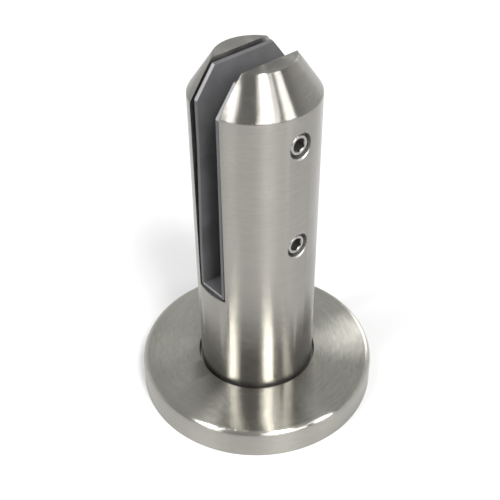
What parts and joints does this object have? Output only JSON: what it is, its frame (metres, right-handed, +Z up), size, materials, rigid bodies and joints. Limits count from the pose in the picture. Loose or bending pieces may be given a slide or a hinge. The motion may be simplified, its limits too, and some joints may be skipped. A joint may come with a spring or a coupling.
{
  "type": "glass railing spigot",
  "caption": "Round floor-mounted post with a cone-topped, lined slot that clamps the lower edge of a glass panel, on a bolted base plate hidden by a cover ring.",
  "frame": {"origin": "on the floor at the centre of the base plate's underside", "axes": "+Z up the post, the glass slot runs along X, the clamping screws go in from the -Y side"},
  "size_m": [0.104, 0.104, 0.158],
  "materials": {
    "brushed_post": "stainless steel, brushed round the post",
    "brushed_ring": "stainless steel sheet, brushed in circles",
    "machined_plate": "stainless steel as machined",
    "bright_screw": "bright stainless steel",
    "liner_rubber": "matt dark grey moulded rubber"
  },
  "bodies": {
    "root": {"spigot_body": "brushed_post", "base_plate": "machined_plate", "slot_liner": "liner_rubber", "base_screw_1": "bright_screw", "base_screw_2": "bright_screw", "base_screw_3": "bright_screw", "base_screw_4": "bright_screw"},
    "ring": {"cover_ring": "brushed_ring"},
    "clamp_plate": {"pressure_plate": "machined_plate"},
    "upper_screw": {"upper_set_screw": "bright_screw"},
    "lower_screw": {"lower_set_screw": "bright_screw"}
  },
  "joints": [
    {"name": "ring_lift", "type": "slide", "parent": "root", "child": "ring", "axis": [0, 0, 1], "range_m": [0, 0.1448]},
    {"name": "plate_slide", "type": "slide", "parent": "root", "child": "clamp_plate", "axis": [0, 1, 0], "range_m": [0, 0.003], "deforming": ["slot_liner"]},
    {"name": "upper_screw_turn", "type": "hinge", "parent": "clamp_plate", "child": "upper_screw", "pos_m": [0, -0.0175, 0.1315], "axis": [0, 1, 0], "range_deg": [0, 720]},
    {"name": "lower_screw_turn", "type": "hinge", "parent": "clamp_plate", "child": "lower_screw", "pos_m": [0, -0.0175, 0.0865], "axis": [0, 1, 0], "range_deg": [0, 720]}
  ],
  "couplings": [
    {"joint": "upper_screw_turn", "follows": "plate_slide", "rad_per_m": 4188.8},
    {"joint": "lower_screw_turn", "follows": "plate_slide", "rad_per_m": 4188.8}
  ]
}
